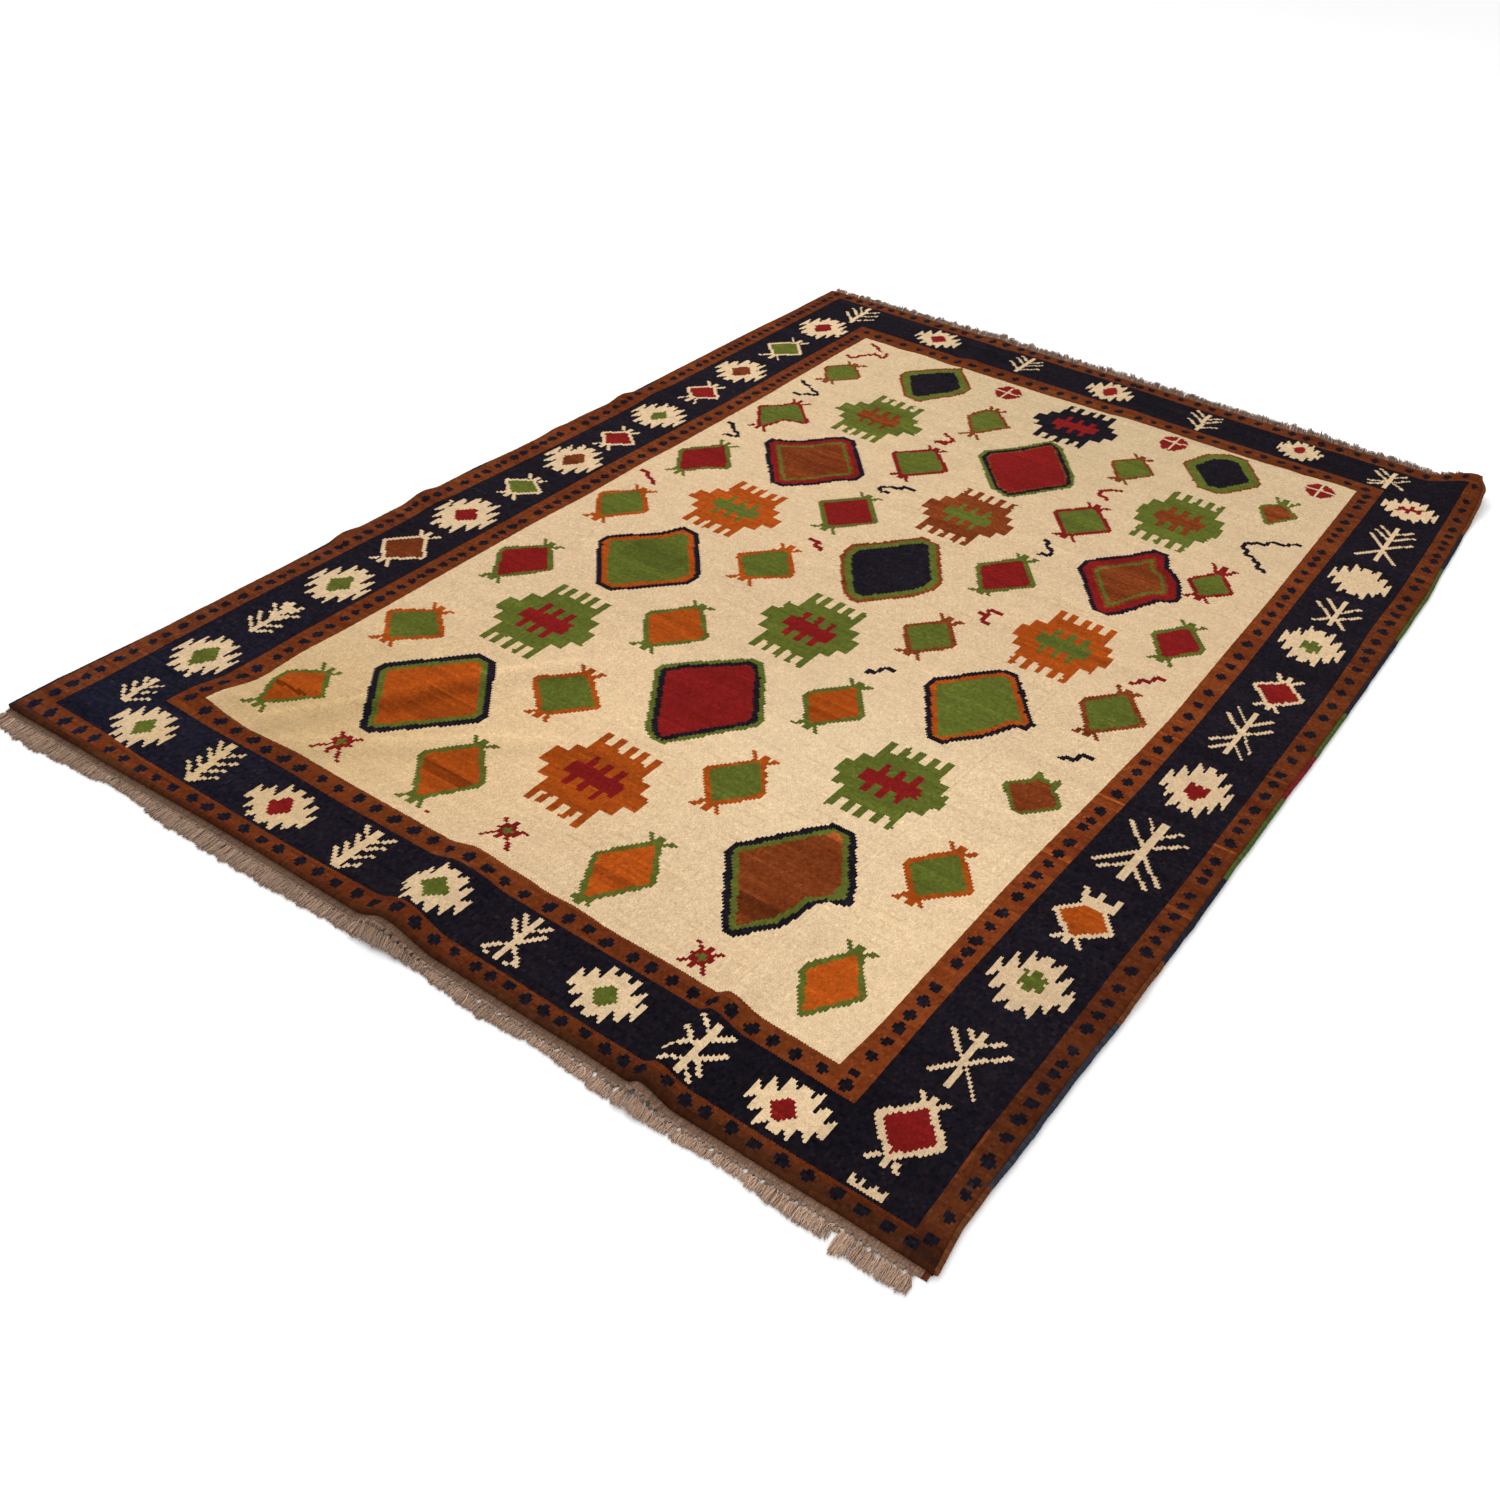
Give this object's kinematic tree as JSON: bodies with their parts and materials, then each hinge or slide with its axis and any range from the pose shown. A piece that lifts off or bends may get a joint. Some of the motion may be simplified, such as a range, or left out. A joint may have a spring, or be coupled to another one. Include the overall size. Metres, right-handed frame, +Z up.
{
  "type": "hand-knotted wool rug",
  "caption": "Hand-knotted wool pile rug with overcast side cords and knotted warp fringes, lying flat with soft ridges and a lifted corner.",
  "frame": {"origin": "middle of the whole rug's box, on the floor under it", "axes": "+X along the near fringed end from left to right, +Y along the length to the far end, +Z up out of the pile"},
  "size_m": [1.7306, 2.5522, 0.0417],
  "materials": {
    "wool_pile": "matt hand-knotted wool pile, cream field with navy, rust brown, green, red and orange motifs",
    "side_overcasting": "matt wool yarn wound over the side warps in brown, navy, green and red stretches",
    "warp_yarn": "matt undyed grey-brown wool yarn"
  },
  "bodies": {
    "root": {"rug_pile": "wool_pile", "side_cord_left": "side_overcasting", "side_cord_right": "side_overcasting", "fringe_near": "warp_yarn", "fringe_far": "warp_yarn"}
  },
  "joints": []
}
